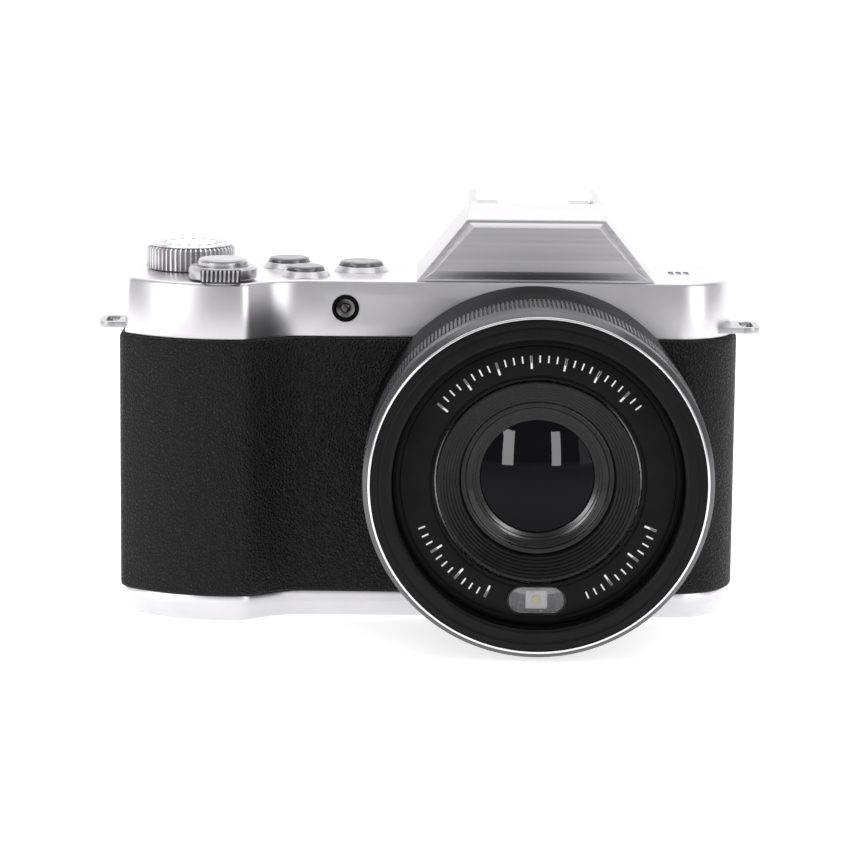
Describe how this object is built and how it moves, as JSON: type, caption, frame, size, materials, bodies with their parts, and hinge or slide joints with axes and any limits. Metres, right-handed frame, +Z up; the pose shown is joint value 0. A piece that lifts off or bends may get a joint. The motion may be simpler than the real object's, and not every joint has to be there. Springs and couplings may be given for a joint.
{
  "type": "compact digital camera",
  "caption": "Retro-styled compact digital camera with a hump finder, accessory shoe, top dials and buttons, rear screen and a telescoping zoom lens.",
  "frame": {"origin": "middle of the tripod socket's mouth, on the plane the camera stands on", "axes": "the lens looks along -Y, +X is to the right seen from in front of the lens, +Z is up"},
  "size_m": [0.1154, 0.0631, 0.0729],
  "materials": {
    "silver_cover": "satin silver paint on a moulded cover",
    "leatherette": "black pebbled leatherette",
    "black_plastic": "matt black moulding",
    "lens_black": "satin black anodised barrel",
    "knurled_metal": "satin turned and knurled",
    "button_metal": "satin turned",
    "polished_metal": "polished",
    "spring_steel": "plain steel",
    "contact_brass": "plated",
    "soft_rubber": "matt rubber",
    "frame_metal": "stamped",
    "circuit_board": "laminate",
    "battery_wrap": "wrapped cell",
    "card_plastic": "moulded",
    "lens_glass": "coated glass",
    "display_glass": "tinted cover glass",
    "lamp_red": "dark red lens",
    "macro_diffuser": "frosted window",
    "macro_led": "emitter"
  },
  "bodies": {
    "camera_body": {"front_casing": "black_plastic", "rear_casing": "black_plastic", "leatherette": "leatherette", "thumb_pad": "soft_rubber", "top_cover": "silver_cover", "finder_housing": "silver_cover", "finder_face": "silver_cover", "shoe_base": "black_plastic", "shoe_rails": "polished_metal", "shoe_spring": "spring_steel", "shoe_contacts": "contact_brass", "bottom_plate": "silver_cover", "tripod_bush": "contact_brass", "casing_screws": "spring_steel", "strap_lug_left": "polished_metal", "strap_lug_right": "polished_metal", "focus_lamp_bezel": "black_plastic", "focus_lamp_lens": "lamp_red", "frame_plate": "frame_metal", "main_board": "circuit_board", "control_board": "circuit_board", "battery": "battery_wrap", "memory_card": "card_plastic", "image_sensor": "circuit_board", "lens_base_barrel": "lens_black", "lens_guide_sleeve": "black_plastic", "lens_bevel_ring": "polished_metal", "lens_face_ring": "lens_black", "lens_dish_ring": "lens_black", "macro_light_window": "macro_diffuser", "macro_led": "macro_led", "zoom_motor": "spring_steel", "button_collars": "polished_metal", "display_module": "black_plastic", "display_window": "display_glass", "eyepiece_frame": "soft_rubber", "eyepiece_glass": "display_glass", "finder_display": "black_plastic", "usb_socket": "spring_steel", "door_hinge_pin": "spring_steel"},
    "control_ring": {"control_ring": "knurled_metal"},
    "cam_ring": {"cam_ring": "contact_brass"},
    "outer_barrel": {"outer_zoom_barrel": "lens_black"},
    "inner_barrel": {"inner_zoom_barrel": "lens_black", "front_lens": "lens_glass"},
    "mode_dial": {"mode_dial": "knurled_metal", "mode_dial_cap": "button_metal"},
    "zoom_lever": {"zoom_lever": "knurled_metal"},
    "shutter_button": {"shutter_button": "button_metal"},
    "top_button_rear": {"top_button_rear": "button_metal"},
    "top_button_front": {"top_button_front": "button_metal"},
    "top_button_side": {"top_button_side": "button_metal"},
    "four_way_pad": {"four_way_pad": "button_metal"},
    "set_button": {"set_button": "button_metal"},
    "menu_button": {"menu_button": "button_metal"},
    "playback_button": {"playback_button": "button_metal"},
    "battery_door": {"battery_door": "silver_cover"},
    "door_latch": {"door_latch": "black_plastic"},
    "port_flap": {"port_flap": "soft_rubber"}
  },
  "joints": [
    {"name": "control_ring_turn", "type": "hinge", "parent": "camera_body", "child": "control_ring", "pos_m": [0.0183, -0.03, 0.03], "axis": [0, -1, 0], "continuous": true},
    {"name": "zoom_extend", "type": "slide", "parent": "camera_body", "child": "outer_barrel", "axis": [0, -1, 0], "range_m": [0, 0.012]},
    {"name": "inner_barrel_extend", "type": "slide", "parent": "outer_barrel", "child": "inner_barrel", "axis": [0, -1, 0], "range_m": [0, 0.009]},
    {"name": "cam_ring_turn", "type": "hinge", "parent": "camera_body", "child": "cam_ring", "pos_m": [0.0183, -0.03, 0.03], "axis": [0, -1, 0], "range_deg": [0, 110]},
    {"name": "mode_dial_turn", "type": "hinge", "parent": "camera_body", "child": "mode_dial", "pos_m": [-0.0424, 0.0025, 0.0595], "axis": [0, 0, 1], "continuous": true},
    {"name": "zoom_lever_turn", "type": "hinge", "parent": "camera_body", "child": "zoom_lever", "pos_m": [-0.0359, -0.013, 0.0595], "axis": [0, 0, 1], "range_deg": [-20, 20], "stiffness_Nm_per_rad": 0.02},
    {"name": "shutter_press", "type": "slide", "parent": "camera_body", "child": "shutter_button", "axis": [0, 0, -1], "range_m": [0, 0.001], "stiffness_N_per_m": 500, "springref_m": -0.0006},
    {"name": "top_button_rear_press", "type": "slide", "parent": "camera_body", "child": "top_button_rear", "axis": [0, 0, -1], "range_m": [0, 0.0006], "stiffness_N_per_m": 600, "springref_m": -0.0006},
    {"name": "top_button_front_press", "type": "slide", "parent": "camera_body", "child": "top_button_front", "axis": [0, 0, -1], "range_m": [0, 0.0006], "stiffness_N_per_m": 600, "springref_m": -0.0006},
    {"name": "top_button_side_press", "type": "slide", "parent": "camera_body", "child": "top_button_side", "axis": [0, 0, -1], "range_m": [0, 0.0006], "stiffness_N_per_m": 600, "springref_m": -0.0006},
    {"name": "four_way_pad_press", "type": "slide", "parent": "camera_body", "child": "four_way_pad", "axis": [0, -1, 0], "range_m": [0, 0.0004], "stiffness_N_per_m": 600, "springref_m": -0.0006},
    {"name": "set_button_press", "type": "slide", "parent": "camera_body", "child": "set_button", "axis": [0, -1, 0], "range_m": [0, 0.0005], "stiffness_N_per_m": 600, "springref_m": -0.0006},
    {"name": "menu_button_press", "type": "slide", "parent": "camera_body", "child": "menu_button", "axis": [0, -1, 0], "range_m": [0, 0.0005], "stiffness_N_per_m": 600, "springref_m": -0.0006},
    {"name": "playback_button_press", "type": "slide", "parent": "camera_body", "child": "playback_button", "axis": [0, -1, 0], "range_m": [0, 0.0005], "stiffness_N_per_m": 600, "springref_m": -0.0006},
    {"name": "battery_door_swing", "type": "hinge", "parent": "camera_body", "child": "battery_door", "pos_m": [-0.0236, -0.0035, 0.0013], "axis": [0, -1, 0], "range_deg": [0, 90]},
    {"name": "door_latch_slide", "type": "slide", "parent": "battery_door", "child": "door_latch", "axis": [1, 0, 0], "range_m": [0, 0.002]},
    {"name": "port_flap_swing", "type": "hinge", "parent": "camera_body", "child": "port_flap", "pos_m": [0.05325, 0.00455, 0.029], "axis": [0, 0, 1], "range_deg": [0, 110]}
  ],
  "couplings": [
    {"joint": "inner_barrel_extend", "follows": "zoom_extend", "ratio": 0.75},
    {"joint": "cam_ring_turn", "follows": "zoom_extend", "rad_per_m": 159.9}
  ]
}
